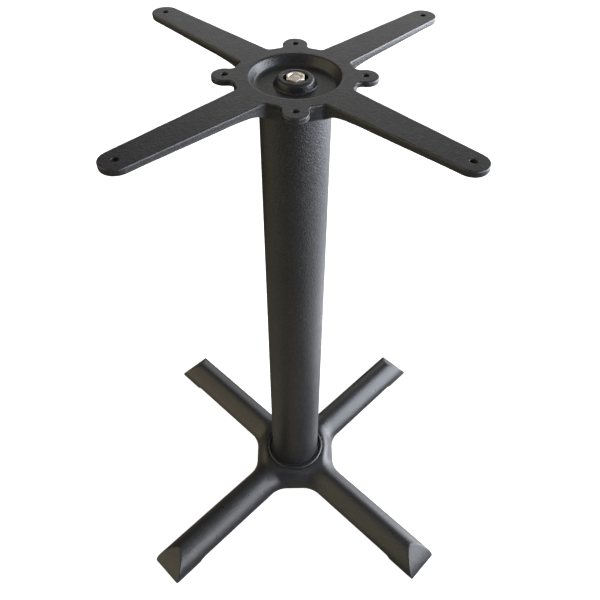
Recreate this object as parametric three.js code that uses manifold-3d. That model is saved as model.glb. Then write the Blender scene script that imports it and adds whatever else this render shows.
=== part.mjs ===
// A pedestal table base: a cast X foot, a round column and a cast X top plate,
// clamped together by one tie rod, standing on four levelling glides.
// Millimetres, +Z up, origin on the floor under the column's axis.
// The legs and arms lie on the diagonals, the top plate's lugs on the X and Y axes.
import * as THREE from "three";
import { mergeVertices } from "three/addons/utils/BufferGeometryUtils.js";
import Module from "manifold-3d";

// Driving dimensions
const HEIGHT = 726; // floor to the top plate's upper face
const CLEARANCE = 0.3; // gap left between pieces that touch
const QUARTERS = ["back_right", "back_left", "front_left", "front_right"];

// Foot casting
const FOOT_REACH = 281; // column axis to the end of a leg
const LEG_HALF_WIDTH = 26.3;
const LEG_CREST_Z = 38;
const LEG_SKIRT_Z = 8; // lower edge of the legs' sides
const ARCH_POWER = 1.6; // 2 would make the leg's section half an ellipse, 1 a triangle
const VALLEY_RADIUS = 65.5; // axis to the outline halfway between two legs
const VALLEY_FILLET = 37; // rounds the outline between a leg's side and the flat of a valley
const HUB_Z = 40; // lip of the groove that the column stands in
const LEG_END_ANGLE = 48.5; // slope of the end face of a leg, in degrees
const LEG_END_BULGE = 3; // the end face is this much crowned
const PAD_LENGTH = 53;
const PAD_RAMP = 6;
const PAD_Z = 3;
const FOOT_WALL = 5.5;
const RIB_THICKNESS = 6;
const RIB_INNER_RADIUS = 24;
const RIB_Z = 12;
const SEAT_RADIUS = 42.5; // the groove's outer wall
const SEAT_RIM_RADIUS = 45.5; // outside of the low rim round the groove
const SEAT_RIM_RISE = 0.8;
const SEAT_LIP_RADIUS = 46.5; // where the hub's flat top ends
const SEAT_Z = 38;
const SEAT_PLATE = 8; // thickness of the hub under the groove

// Column
const COLUMN_RADIUS = 38.1;
const COLUMN_WALL = 2;
const REGISTER_RADIUS = COLUMN_RADIUS - COLUMN_WALL - 0.6; // spigots inside the tube's ends
const REGISTER_HEIGHT = 6; // of the top plate's spigot

// Top plate, measured down from its upper face
const ARM_HOLE_RADIUS = 212;
const ARM_TIP_HALF_WIDTH = 15;
const ARM_ROOT_HALF_WIDTH = 19.2;
const HUB_RADIUS = 62.6;
const ARM_FILLET = 6.5; // between an arm's side and the round hub
const LUG_FILLET = 7.5; // between the round hub and a lug
const LUG_HOLE_RADIUS = 71;
const LUG_END_RADIUS = 13.5;
const HUB_DEPTH = 17.5;
const ARM_TIP_DEPTH = 7.2;
const ARM_ROOT_DEPTH = 9.2;
const ARM_FLARE = 9; // the flare from the arms down into the hub fades over this distance
const LUG_THICKNESS = 6.3;
const ARM_WEB = 5;
const ARM_FLANGE = 5;
const SCREW_HOLE_RADIUS = 3.3;
const DISH_RIM_RADIUS = 47;
const DISH_FLOOR_RADIUS = 41;
const DISH_DEPTH = 10;
const BOSS_TOP_RADIUS = 18.5;
const BOSS_RADIUS = 22;
const BOSS_EDGE = 1.5; // its top edge falls away over this distance
const BOSS_DROP = 2;

// Tie rod and its fasteners, M12
const ROD_RADIUS = 5.85;
const ROD_HOLE_RADIUS = 6.8;
const NUT_ACROSS_FLATS = 18;
const NUT_HEIGHT = 10.4;
const NUT_DROP = 1; // top of the nut below the top plate's upper face
const WASHER_RADIUS = 12;
const WASHER_THICKNESS = 2.5;
const WASHER_BORE = 6.5;
const BIG_WASHER_RADIUS = 18;
const SPRING_WASHER_RADIUS = 10.5;

// Levelling glides, M8
const GLIDE_RADIUS = 15;
const GLIDE_HEIGHT = 6.5;
const GLIDE_STATION = 250; // distance from the column's axis
const GLIDE_RECESS_RADIUS = 17;
const STUD_RADIUS = 3.9;
const STUD_HOLE_RADIUS = 4.3;
const STUD_BOTTOM = 3; // moulded into the glide
const STUD_TOP = 26;

const wasm = await Module();
wasm.setup();

// ---- Solids ----

function solid(geometry) {
  const bare = geometry.clone();
  bare.deleteAttribute("normal");
  bare.deleteAttribute("uv");
  const merged = mergeVertices(bare, 1e-4);
  const corners = merged.index.array;
  const triangles = [];
  for (let i = 0; i < corners.length; i += 3) {
    const [a, b, c] = corners.slice(i, i + 3);
    if (a !== b && b !== c && c !== a) triangles.push(a, b, c);
  }
  return new wasm.Manifold(
    new wasm.Mesh({
      numProp: 3,
      vertProperties: merged.attributes.position.array,
      triVerts: new Uint32Array(triangles),
    }),
  );
}

function geometryOf(body) {
  const mesh = body.getMesh();
  const geometry = new THREE.BufferGeometry();
  geometry.setAttribute("position", new THREE.BufferAttribute(mesh.vertProperties, 3));
  geometry.setIndex(new THREE.BufferAttribute(mesh.triVerts, 1));
  geometry.computeVertexNormals();
  return geometry;
}

// A solid of revolution about Z from (radius, z) pairs.
function turned(profile, segments = 48) {
  const points = profile.map(([radius, z]) => new THREE.Vector2(radius, z));
  return new THREE.LatheGeometry(points, segments).rotateX(Math.PI / 2);
}

function drum(radius, bottom, top, segments = 48) {
  return turned([[0, bottom], [radius, bottom], [radius, top], [0, top]], segments);
}

function prism(shape, bottom, top, curveSegments = 8) {
  const options = { depth: top - bottom, bevelEnabled: false, curveSegments };
  return new THREE.ExtrudeGeometry(shape, options).translate(0, 0, bottom);
}

function block(x0, x1, y0, y1, z0, z1) {
  const box = new THREE.BoxGeometry(x1 - x0, y1 - y0, z1 - z0);
  return box.translate((x0 + x1) / 2, (y0 + y1) / 2, (z0 + z1) / 2);
}

// The same geometry turned to each of the four directions, starting at an angle.
function fourTimes(geometry, startDegrees) {
  return [0, 1, 2, 3].map((k) =>
    geometry.clone().rotateZ(THREE.MathUtils.degToRad(startDegrees + 90 * k)),
  );
}

function addAll(body, geometries) {
  return geometries.reduce((sum, each) => sum.add(solid(each)), body);
}

function cutAll(body, geometries) {
  return geometries.reduce((rest, each) => rest.subtract(solid(each)), body);
}

// ---- Foot casting ----

// Stations along half of one quarter's outline, from a leg's end to the middle of the valley between
// two legs: the leg's straight side, an arc, and the valley's flat. Each has its outline point and
// the crest point straight inward from it. The leg lies along +X.
function footStations(inset, reach) {
  const halfWidth = LEG_HALF_WIDTH - inset;
  const valley = VALLEY_RADIUS - inset;
  const arcRadius = VALLEY_FILLET + inset;
  const corner = valley * Math.SQRT2 - halfWidth; // where the side would meet the valley's flat
  const arcCentre = new THREE.Vector2(
    corner + arcRadius * Math.tan(Math.PI / 8),
    halfWidth + arcRadius,
  );
  const stations = [];
  for (const along of evenSteps(reach, arcCentre.x, 3).slice(0, -1)) {
    stations.push({
      edge: new THREE.Vector2(along, halfWidth),
      crest: new THREE.Vector2(along, 0),
    });
  }
  // Up to this turn the inward line meets the leg's centre line, and after it the seat's lip.
  const lipTurn = Math.atan((arcCentre.x - SEAT_LIP_RADIUS) / arcCentre.y);
  const turns = [...evenSteps(0, lipTurn, 4).slice(0, -1), ...evenSteps(lipTurn, Math.PI / 4, 2)];
  for (const turn of turns) {
    const inward = new THREE.Vector2(-Math.sin(turn), -Math.cos(turn));
    const edge = arcCentre.clone().addScaledVector(inward, arcRadius);
    const crest = turn <= lipTurn ? onCentreLine(edge, inward) : onLip(edge, inward);
    stations.push({ edge, crest });
  }
  const flatStart = stations.at(-1).edge;
  const flatMiddle = new THREE.Vector2(valley, valley).multiplyScalar(Math.SQRT1_2);
  const inward = new THREE.Vector2(-Math.SQRT1_2, -Math.SQRT1_2);
  for (const share of [0.5, 1]) {
    const edge = flatStart.clone().lerp(flatMiddle, share);
    stations.push({ edge, crest: onLip(edge, inward) });
  }
  return stations;
}

function evenSteps(from, to, count) {
  return Array.from({ length: count + 1 }, (_, i) => from + ((to - from) * i) / count);
}

function onCentreLine(edge, inward) {
  return edge.clone().addScaledVector(inward, -edge.y / inward.y);
}

function onLip(edge, inward) {
  const along = edge.dot(inward);
  const chord = Math.sqrt(along * along - edge.lengthSq() + SEAT_LIP_RADIUS ** 2);
  return edge.clone().addScaledVector(inward, -along - chord);
}

// Height of the arched skin above its lower edge, by distance in from the outline.
function archHeight(distance, halfWidth, crest) {
  const across = Math.max(0, 1 - distance / halfWidth);
  return crest * Math.pow(1 - Math.pow(across, ARCH_POWER), 1 / ARCH_POWER);
}

// One column of skin points, from the bottom edge up to the crest.
function skinColumn({ edge, crest }, inset, drop, bottom, rows) {
  const width = edge.distanceTo(crest);
  const points = bottom < LEG_SKIRT_Z ? [new THREE.Vector3(edge.x, edge.y, bottom)] : [];
  for (const angle of evenSteps(0, Math.PI / 2, rows)) {
    const distance = width * (1 - Math.cos(angle));
    const place = edge.clone().lerp(crest, distance / width);
    const arch = archHeight(distance, LEG_HALF_WIDTH - inset, LEG_CREST_Z - drop - LEG_SKIRT_Z);
    const outer = VALLEY_RADIUS - inset;
    const hubward = 1 - THREE.MathUtils.smoothstep(place.length(), SEAT_LIP_RADIUS, outer);
    const z = THREE.MathUtils.lerp(LEG_SKIRT_Z + arch, HUB_Z - drop, hubward);
    points.push(new THREE.Vector3(place.x, place.y, z));
  }
  return points;
}

// The X-shaped arched body, its outline moved in by inset and its crest lowered by drop.
function archedCross(inset, drop, bottom, reach, rows) {
  const half = footStations(inset, reach);
  const mirrored = half.slice(0, -1).reverse().map(({ edge, crest }) => ({
    edge: new THREE.Vector2(edge.y, edge.x),
    crest: new THREE.Vector2(crest.y, crest.x),
  }));
  const quarter = [...half, ...mirrored];
  const columns = quarter.map((station) => skinColumn(station, inset, drop, bottom, rows));
  const up = new THREE.Vector3(0, 0, 1);
  const allColumns = QUARTERS.flatMap((_, k) =>
    columns.map((column) => column.map((p) => p.clone().applyAxisAngle(up, quarterAngle(k)))),
  );
  return closedSkin(allColumns, HUB_Z - drop);
}

// Joins the columns round the outline, and closes the hub's top and the whole bottom.
function closedSkin(columns, hubZ) {
  const corners = [];
  const hub = new THREE.Vector3(0, 0, hubZ);
  const crestRow = columns[0].length - 1;
  const onHub = (point) => Math.hypot(point.x, point.y) < SEAT_LIP_RADIUS + 0.01;
  columns.forEach((column, i) => {
    const next = columns[(i + 1) % columns.length];
    for (let row = 0; row < crestRow; row++) {
      corners.push(column[row], next[row], next[row + 1]);
      corners.push(column[row], next[row + 1], column[row + 1]);
    }
    const ends = [column[crestRow], next[crestRow]];
    if (ends.every(onHub)) corners.push(...ends, hub);
  });
  const outline = columns.map((column) => new THREE.Vector2(column[0].x, column[0].y));
  for (const [a, b, c] of THREE.ShapeUtils.triangulateShape(outline, [])) {
    corners.push(columns[a][0], columns[c][0], columns[b][0]);
  }
  return new THREE.BufferGeometry().setFromPoints(corners);
}

// The material beyond a leg's sloping end face, which is slightly crowned.
function beyondLegEnd() {
  const slope = THREE.MathUtils.degToRad(LEG_END_ANGLE);
  const chord = (LEG_CREST_Z - PAD_Z) / Math.sin(slope);
  const halfArc = 2 * Math.atan((2 * LEG_END_BULGE) / chord);
  const radius = chord / 2 / Math.sin(halfArc);
  const lowerEnd = Math.PI / 2 - slope - halfArc; // direction of the face's lower end
  const upperEnd = lowerEnd + 2 * halfArc;
  const centreX = FOOT_REACH - radius * Math.cos(lowerEnd);
  const centreZ = PAD_Z - radius * Math.sin(lowerEnd);
  const far = 80;
  const shape = new THREE.Shape();
  shape.moveTo(FOOT_REACH, -far);
  shape.absarc(centreX, centreZ, radius, lowerEnd, upperEnd, false);
  shape.lineTo(
    centreX + radius * Math.cos(upperEnd) - far * Math.sin(upperEnd),
    centreZ + radius * Math.sin(upperEnd) + far * Math.cos(upperEnd),
  );
  shape.lineTo(FOOT_REACH + far, LEG_CREST_Z + far);
  shape.lineTo(FOOT_REACH + far, -far);
  return prism(shape, -40, 40, 5).rotateX(Math.PI / 2);
}

// The thicker pad under a leg's end, which starts with a ramp.
function legPad() {
  const start = FOOT_REACH - PAD_LENGTH;
  const profile = new THREE.Shape([
    new THREE.Vector2(start, LEG_SKIRT_Z),
    new THREE.Vector2(start + PAD_RAMP, PAD_Z),
    new THREE.Vector2(FOOT_REACH + 2, PAD_Z),
    new THREE.Vector2(FOOT_REACH + 2, LEG_SKIRT_Z + 0.5),
    new THREE.Vector2(start, LEG_SKIRT_Z + 0.5),
  ]);
  return prism(profile, -LEG_HALF_WIDTH, LEG_HALF_WIDTH).rotateX(Math.PI / 2);
}

function footHollow() {
  const innerReach = FOOT_REACH - PAD_LENGTH - 3;
  const hollow = solid(archedCross(FOOT_WALL, FOOT_WALL, -5, innerReach, 5));
  const halfRib = RIB_THICKNESS / 2;
  const rib = block(RIB_INNER_RADIUS, VALLEY_RADIUS, -halfRib, halfRib, RIB_Z, HUB_Z);
  const seatPlate = drum(SEAT_RADIUS + FOOT_WALL, SEAT_Z - SEAT_PLATE, HUB_Z + 5);
  return cutAll(hollow, [seatPlate, ...fourTimes(rib, 0)]);
}

// The low rim that stands round the column's groove.
function seatRim() {
  const chamfer = 0.5;
  const top = HUB_Z + SEAT_RIM_RISE;
  return turned([
    [SEAT_RADIUS, SEAT_Z - 1],
    [SEAT_RIM_RADIUS, SEAT_Z - 1],
    [SEAT_RIM_RADIUS, top - chamfer],
    [SEAT_RIM_RADIUS - chamfer, top],
    [SEAT_RADIUS + chamfer, top],
    [SEAT_RADIUS, top - chamfer],
    [SEAT_RADIUS, SEAT_Z - 1],
  ], 64);
}

// The groove that the column stands in. What it leaves standing in its middle is the spigot that
// centres the column.
function seatGroove() {
  const chamfer = 1;
  const above = 0.5;
  const underRim = (SEAT_RADIUS + SEAT_RIM_RADIUS) / 2;
  return turned([
    [REGISTER_RADIUS, SEAT_Z],
    [underRim, SEAT_Z],
    [underRim, HUB_Z + above],
    [REGISTER_RADIUS - chamfer - above, HUB_Z + above],
    [REGISTER_RADIUS, HUB_Z - chamfer],
    [REGISTER_RADIUS, SEAT_Z],
  ], 64);
}

function baseCasting() {
  const glideRecess = drum(GLIDE_RECESS_RADIUS, PAD_Z - 5, GLIDE_HEIGHT + CLEARANCE, 28);
  const studHole = drum(STUD_HOLE_RADIUS, 0, STUD_TOP + 1, 16);
  for (const cut of [glideRecess, studHole]) cut.translate(GLIDE_STATION, 0, 0);
  const skin = solid(archedCross(0, 0, LEG_SKIRT_Z, FOOT_REACH + 2, 7));
  const body = addAll(skin, fourTimes(legPad(), 45)).subtract(footHollow());
  return cutAll(body, [
    ...fourTimes(beyondLegEnd(), 45),
    ...fourTimes(glideRecess, 45),
    ...fourTimes(studHole, 45),
    seatGroove(),
    drum(ROD_HOLE_RADIUS, 0, HUB_Z + 5, 32),
  ]).add(solid(seatRim()));
}

// ---- Column ----

function columnTube(length) {
  const inner = COLUMN_RADIUS - COLUMN_WALL;
  return solid(turned([
    [inner, 0],
    [COLUMN_RADIUS, 0],
    [COLUMN_RADIUS, length],
    [inner, length],
    [inner, 0],
  ], 72));
}

// ---- Top plate casting, z = 0 at its upper face ----

// The circles that half a quarter of the outline is made of, in order, with the angle at which each
// meets the one before it. The arm lies along +X and the lug on the 45 degree line.
function plateOutlineParts() {
  const taper = Math.atan((ARM_ROOT_HALF_WIDTH - ARM_TIP_HALF_WIDTH) / (ARM_HOLE_RADIUS - HUB_RADIUS));
  const side = new THREE.Vector2(-Math.cos(taper), Math.sin(taper)); // along the arm, hubwards
  const outward = new THREE.Vector2(Math.sin(taper), Math.cos(taper));
  const tip = new THREE.Vector2(ARM_HOLE_RADIUS, 0);
  const offset = tip.clone().addScaledVector(outward, ARM_TIP_HALF_WIDTH + ARM_FILLET);
  const along = offset.dot(side);
  const armFilletDistance = HUB_RADIUS + ARM_FILLET;
  const slide = -along - Math.sqrt(along * along - offset.lengthSq() + armFilletDistance ** 2);
  const armFillet = offset.addScaledVector(side, slide);

  const lug = new THREE.Vector2(LUG_HOLE_RADIUS, 0).rotateAround(new THREE.Vector2(), Math.PI / 4);
  const a = HUB_RADIUS + LUG_FILLET;
  const b = LUG_END_RADIUS + LUG_FILLET;
  const spread = Math.acos((a * a + LUG_HOLE_RADIUS ** 2 - b * b) / (2 * a * LUG_HOLE_RADIUS));
  const lugFillet = new THREE.Vector2(a, 0).rotateAround(new THREE.Vector2(), Math.PI / 4 - spread);
  return {
    tip,
    armFillet,
    lugFillet,
    lug,
    sideAngle: outward.angle(),
    lugAngle: lug.clone().sub(lugFillet).angle(),
  };
}

// The whole outline, with the lugs or with a plain round hub between the arms.
function plateOutline(withLugs) {
  const { tip, armFillet, lugFillet, lug, sideAngle, lugAngle } = plateOutlineParts();
  const axis = new THREE.Vector2();
  const half = [
    { centre: tip, radius: ARM_TIP_HALF_WIDTH, from: 0, to: sideAngle },
    { centre: armFillet, radius: ARM_FILLET, from: sideAngle + Math.PI, to: armFillet.angle() + Math.PI },
  ];
  if (withLugs) {
    half.push(
      { centre: axis, radius: HUB_RADIUS, from: armFillet.angle(), to: lugFillet.angle() },
      { centre: lugFillet, radius: LUG_FILLET, from: lugFillet.angle() + Math.PI, to: lugAngle },
      { centre: lug, radius: LUG_END_RADIUS, from: lugAngle - Math.PI, to: Math.PI / 4 },
    );
  } else {
    half.push({ centre: axis, radius: HUB_RADIUS, from: armFillet.angle(), to: Math.PI / 4 });
  }
  const mirrored = half.toReversed().map(({ centre, radius, from, to }) => ({
    centre: new THREE.Vector2(centre.y, centre.x),
    radius,
    from: Math.PI / 2 - to,
    to: Math.PI / 2 - from,
  }));
  const shape = new THREE.Shape();
  QUARTERS.forEach((_, k) => {
    const turn = quarterAngle(k);
    for (const { centre, radius, from, to } of [...half, ...mirrored]) {
      const c = centre.clone().rotateAround(axis, turn);
      shape.absarc(c.x, c.y, radius, from + turn, to + turn, to < from);
    }
  });
  return shape;
}

// A solid of revolution whose lower face is the underside of the arms: a slight taper from root to
// tip, and a flare down into the hub.
function aboveUnderside() {
  const end = ARM_HOLE_RADIUS + ARM_TIP_HALF_WIDTH + 5;
  const profile = [0, 3, 7, 12, 20, 40, end - HUB_RADIUS].map((beyondHub) => {
    const taper = (ARM_ROOT_DEPTH - ARM_TIP_DEPTH) * (1 - beyondHub / (end - HUB_RADIUS));
    const flare = (HUB_DEPTH - ARM_ROOT_DEPTH) * Math.exp(-beyondHub / ARM_FLARE);
    return [HUB_RADIUS + beyondHub, -ARM_TIP_DEPTH - taper - flare];
  });
  return turned([[0, -HUB_DEPTH], ...profile, [end, 5], [0, 5]], 56);
}

// The shallow hollow under one arm, leaving a web on top and a flange round it.
function armHollow() {
  const start = HUB_RADIUS + 8;
  const end = ARM_HOLE_RADIUS - 20;
  const rootHalf = ARM_ROOT_HALF_WIDTH - ARM_FLANGE - 1;
  const tipHalf = ARM_TIP_HALF_WIDTH - ARM_FLANGE;
  const shape = new THREE.Shape();
  shape.absarc(end - tipHalf, 0, tipHalf, -Math.PI / 2, Math.PI / 2, false);
  shape.lineTo(start, rootHalf);
  shape.lineTo(start, -rootHalf);
  return prism(shape, -HUB_DEPTH - 5, -ARM_WEB, 4);
}

// The dish with the boss left standing in its middle.
function dishCut() {
  const flare = (BOSS_RADIUS - BOSS_TOP_RADIUS) / (DISH_DEPTH - BOSS_DROP);
  return turned([
    [0, -BOSS_DROP],
    [BOSS_TOP_RADIUS - BOSS_EDGE, -BOSS_DROP],
    [BOSS_TOP_RADIUS + BOSS_EDGE * flare, -BOSS_DROP - BOSS_EDGE],
    [BOSS_RADIUS, -DISH_DEPTH],
    [DISH_FLOOR_RADIUS, -DISH_DEPTH],
    [DISH_RIM_RADIUS, 0],
    [DISH_RIM_RADIUS, 5],
    [0, 5],
  ], 64);
}

function topPlateCasting() {
  const body = solid(prism(plateOutline(false), -HUB_DEPTH - 5, 0, 4))
    .intersect(solid(aboveUnderside()))
    .add(solid(prism(plateOutline(true), -LUG_THICKNESS, 0, 4)));
  const register = drum(REGISTER_RADIUS, -HUB_DEPTH - REGISTER_HEIGHT, -HUB_DEPTH + 1);
  const armHole = drum(SCREW_HOLE_RADIUS, -30, 5, 16).translate(ARM_HOLE_RADIUS, 0, 0);
  const lugHole = drum(SCREW_HOLE_RADIUS, -30, 5, 16).translate(LUG_HOLE_RADIUS, 0, 0);
  const counterboreDepth = NUT_DROP + NUT_HEIGHT + WASHER_THICKNESS + 2 * CLEARANCE;
  return cutAll(body.add(solid(register)), [
    ...fourTimes(armHollow(), 45),
    ...fourTimes(armHole, 45),
    ...fourTimes(lugHole, 0),
    dishCut(),
    drum(WASHER_RADIUS + 0.6, -counterboreDepth, 5, 36),
    drum(ROD_HOLE_RADIUS, -60, 5, 32),
  ]);
}

// ---- Tie rod and fasteners, each standing on z = 0 ----

function threadedRod(radius, length) {
  const chamfer = 1.2;
  return solid(turned([
    [0, 0],
    [radius - chamfer, 0],
    [radius, chamfer],
    [radius, length - chamfer],
    [radius - chamfer, length],
    [0, length],
  ], 20));
}

function hexNut() {
  const cornerRadius = NUT_ACROSS_FLATS / Math.sqrt(3);
  const flatRadius = (NUT_ACROSS_FLATS / 2) * 0.95;
  const chamfer = (cornerRadius + 0.2 - flatRadius) * Math.tan(Math.PI / 6);
  const chamfered = turned([
    [0, 0],
    [flatRadius, 0],
    [cornerRadius + 0.2, chamfer],
    [cornerRadius + 0.2, NUT_HEIGHT - chamfer],
    [flatRadius, NUT_HEIGHT],
    [0, NUT_HEIGHT],
  ], 36);
  const hexagon = new THREE.CylinderGeometry(cornerRadius, cornerRadius, NUT_HEIGHT, 6);
  hexagon.rotateX(Math.PI / 2).translate(0, 0, NUT_HEIGHT / 2);
  return solid(hexagon)
    .intersect(solid(chamfered))
    .subtract(solid(drum(ROD_RADIUS + CLEARANCE, -1, NUT_HEIGHT + 1, 24)));
}

function flatWasher(radius) {
  return solid(turned([
    [WASHER_BORE, 0],
    [radius, 0],
    [radius, WASHER_THICKNESS],
    [WASHER_BORE, WASHER_THICKNESS],
    [WASHER_BORE, 0],
  ], 36));
}

function springWasher() {
  const split = block(0, SPRING_WASHER_RADIUS + 1, -0.8, 0.8, -1, WASHER_THICKNESS + 1);
  return flatWasher(SPRING_WASHER_RADIUS).subtract(solid(split));
}

// ---- Levelling glide ----

function glideFoot() {
  const bore = drum(STUD_RADIUS + CLEARANCE, STUD_BOTTOM - CLEARANCE, GLIDE_HEIGHT + 1, 16);
  return solid(turned([
    [0, 0],
    [GLIDE_RADIUS - 3, 0],
    [GLIDE_RADIUS, 1.5],
    [GLIDE_RADIUS, GLIDE_HEIGHT - 1],
    [GLIDE_RADIUS - 1, GLIDE_HEIGHT],
    [0, GLIDE_HEIGHT],
  ], 28)).subtract(solid(bore));
}

// ---- Assembly ----

const FINISHES = {
  castIron: { color: 0x34353a, roughness: 0.75, metalness: 0.2 },
  tube: { color: 0x303136, roughness: 0.7, metalness: 0.2 },
  zinc: { color: 0xcfc9c0, roughness: 0.35, metalness: 0.9 },
  blackSteel: { color: 0x2a2a2c, roughness: 0.55, metalness: 0.6 },
  nylon: { color: 0x18181a, roughness: 0.6, metalness: 0 },
};

function piece(name, body, finish, z = 0) {
  const mesh = new THREE.Mesh(geometryOf(body), new THREE.MeshStandardMaterial(FINISHES[finish]));
  mesh.name = name;
  mesh.position.z = z;
  return mesh;
}

function quarterAngle(k) {
  return THREE.MathUtils.degToRad(45 + 90 * k);
}

function columnGroup() {
  const bottom = SEAT_Z + CLEARANCE;
  const top = HEIGHT - HUB_DEPTH - CLEARANCE;
  const group = new THREE.Group();
  group.add(piece("column_tube", columnTube(top - bottom), "tube", bottom));
  return group;
}

function tieRodGroup() {
  const nutTop = HEIGHT - NUT_DROP;
  const topNutZ = nutTop - NUT_HEIGHT;
  const topWasherZ = topNutZ - CLEARANCE - WASHER_THICKNESS;
  const bigWasherZ = SEAT_Z - SEAT_PLATE - CLEARANCE - WASHER_THICKNESS;
  const springWasherZ = bigWasherZ - CLEARANCE - WASHER_THICKNESS;
  const bottomNutZ = springWasherZ - CLEARANCE - NUT_HEIGHT;
  const rodZ = bottomNutZ - 1;
  const group = new THREE.Group();
  group.add(
    piece("tie_rod", threadedRod(ROD_RADIUS, nutTop - 1 - rodZ), "zinc", rodZ),
    piece("top_nut", hexNut(), "zinc", topNutZ),
    piece("top_washer", flatWasher(WASHER_RADIUS), "blackSteel", topWasherZ),
    piece("bottom_washer", flatWasher(BIG_WASHER_RADIUS), "zinc", bigWasherZ),
    piece("bottom_spring_washer", springWasher(), "blackSteel", springWasherZ),
    piece("bottom_nut", hexNut(), "zinc", bottomNutZ),
  );
  return group;
}

function glideGroup(corner, k) {
  const group = new THREE.Group();
  group.rotation.z = quarterAngle(k);
  const foot = piece(`glide_foot_${corner}`, glideFoot(), "nylon");
  const stud = piece(
    `glide_stud_${corner}`, threadedRod(STUD_RADIUS, STUD_TOP - STUD_BOTTOM), "zinc", STUD_BOTTOM,
  );
  for (const mesh of [foot, stud]) mesh.position.x = GLIDE_STATION;
  group.add(foot, stud);
  return group;
}

const tableBase = new THREE.Group();
tableBase.add(
  piece("base_casting", baseCasting(), "castIron"),
  columnGroup(),
  piece("top_plate_casting", topPlateCasting(), "castIron", HEIGHT),
  tieRodGroup(),
  ...QUARTERS.map(glideGroup),
);

export default tableBase;
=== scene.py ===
"""The looks of a pedestal table base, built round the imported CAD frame.

A cast X foot, a round column and a cast X top plate are clamped together by one tie rod and stand on
four levelling glides. The castings are made as fields: functions that are negative inside the metal and
positive outside, whose zero surface is turned into a mesh. The part's lengths are millimetres, in the
CAD part's frame, until make_piece() turns them into metres. The studio is laid out in metres.
"""

import math

import bpy
import numpy as np
from mathutils import Matrix, Vector


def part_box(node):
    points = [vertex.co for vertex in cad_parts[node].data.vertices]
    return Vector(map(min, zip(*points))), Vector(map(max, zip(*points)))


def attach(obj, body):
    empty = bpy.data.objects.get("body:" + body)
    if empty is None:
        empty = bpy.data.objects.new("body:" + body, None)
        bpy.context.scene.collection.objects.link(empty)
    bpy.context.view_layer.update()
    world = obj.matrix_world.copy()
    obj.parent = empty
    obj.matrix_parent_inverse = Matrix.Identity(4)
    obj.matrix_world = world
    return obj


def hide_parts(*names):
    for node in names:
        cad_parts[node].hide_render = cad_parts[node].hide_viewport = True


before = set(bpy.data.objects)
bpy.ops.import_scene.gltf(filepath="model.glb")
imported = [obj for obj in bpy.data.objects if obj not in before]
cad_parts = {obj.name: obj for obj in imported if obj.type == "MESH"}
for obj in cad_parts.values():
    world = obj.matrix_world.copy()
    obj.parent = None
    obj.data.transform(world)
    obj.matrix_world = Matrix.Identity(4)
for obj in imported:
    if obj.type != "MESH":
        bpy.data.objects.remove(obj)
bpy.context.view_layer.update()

MM = 0.001
QUARTERS = ["back_right", "back_left", "front_left", "front_right"]


def cad(node):
    """A CAD node's lowest and highest corners, in millimetres."""
    low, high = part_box(node)
    return low / MM, high / MM


# ---- Driving dimensions: the CAD part's, and a few for what only the looks have ----

HEIGHT = cad("top_plate_casting")[1].z

# Foot casting
FOOT_REACH = 281  # column axis to the end of a leg
LEG_HALF_WIDTH = 26.3
LEG_CREST_Z = 38
LEG_SKIRT_Z = 8  # lower edge of the legs' sides
ARCH_POWER = 1.6  # 2 would make the leg's section half an ellipse, 1 a triangle
VALLEY_RADIUS = 65.5  # axis to the outline halfway between two legs
VALLEY_FILLET = 37  # rounds the outline between a leg's side and the flat of a valley
SEAT_RIM_RISE = 0.8  # the low rim round the column's groove stands this much above the hub
HUB_Z = cad("base_casting")[1].z - SEAT_RIM_RISE
LEG_END_ANGLE = 48.5  # slope of the end face of a leg, in degrees
LEG_END_BULGE = 3  # the end face is this much crowned
PAD_LENGTH = 53
PAD_RAMP = 6
PAD_Z = cad("base_casting")[0].z
FOOT_WALL = 5.5
RIB_THICKNESS = 6
RIB_INNER_RADIUS = 24
RIB_Z = 12
SEAT_RADIUS = 42.5  # the groove's outer wall
SEAT_RIM_RADIUS = 45.5  # outside of the low rim
SEAT_Z = 38
SEAT_FILL = 1.5  # thickness of the coat and dust that lie in the groove
SEAT_LIP_RADIUS = 46.5  # where the hub's flat top ends
SEAT_PLATE = 8  # thickness of the hub under the groove
FOOT_STEP = 1.55  # size of the mesh's quads

# Column
COLUMN_RADIUS = cad("column_tube")[1].x
COLUMN_WALL = 2
REGISTER_RADIUS = COLUMN_RADIUS - COLUMN_WALL - 0.6  # spigots inside the tube's ends
REGISTER_HEIGHT = 6  # of the top plate's spigot

# Top plate, z = 0 at its upper face
ARM_HOLE_RADIUS = 212
ARM_TIP_HALF_WIDTH = 15
ARM_ROOT_HALF_WIDTH = 19.2
HUB_RADIUS = 62.6
ARM_FILLET = 6.5  # between an arm's side and the round hub
LUG_FILLET = 7.5  # between the round hub and a lug
LUG_HOLE_RADIUS = 71
LUG_END_RADIUS = 13.5
HUB_DEPTH = 17.5
ARM_TIP_DEPTH = 7.2
ARM_ROOT_DEPTH = 9.2
ARM_FLARE = 9  # the flare from the arms down into the hub fades over this distance
LUG_THICKNESS = 6.3
ARM_WEB = 5
ARM_FLANGE = 5
ARM_HOLLOW_START = HUB_RADIUS + 8
ARM_HOLLOW_END = ARM_HOLE_RADIUS - 20
SCREW_HOLE_RADIUS = 3.3
DISH_RIM_RADIUS = 47
DISH_FLOOR_RADIUS = 41
DISH_DEPTH = 10
BOSS_TOP_RADIUS = 18.5
BOSS_RADIUS = 22
BOSS_DROP = 2
COUNTERBORE_RADIUS = 12.6  # the nut's and its washer's
COUNTERBORE_DEPTH = 14.5
TOP_EDGE = 1.4  # radius of the plate's upper edge
DRAFT = 0.03  # how much the plate's sides lean inwards for each millimetre down
PLATE_STEP = 1.25  # size of the mesh's quads

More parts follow.
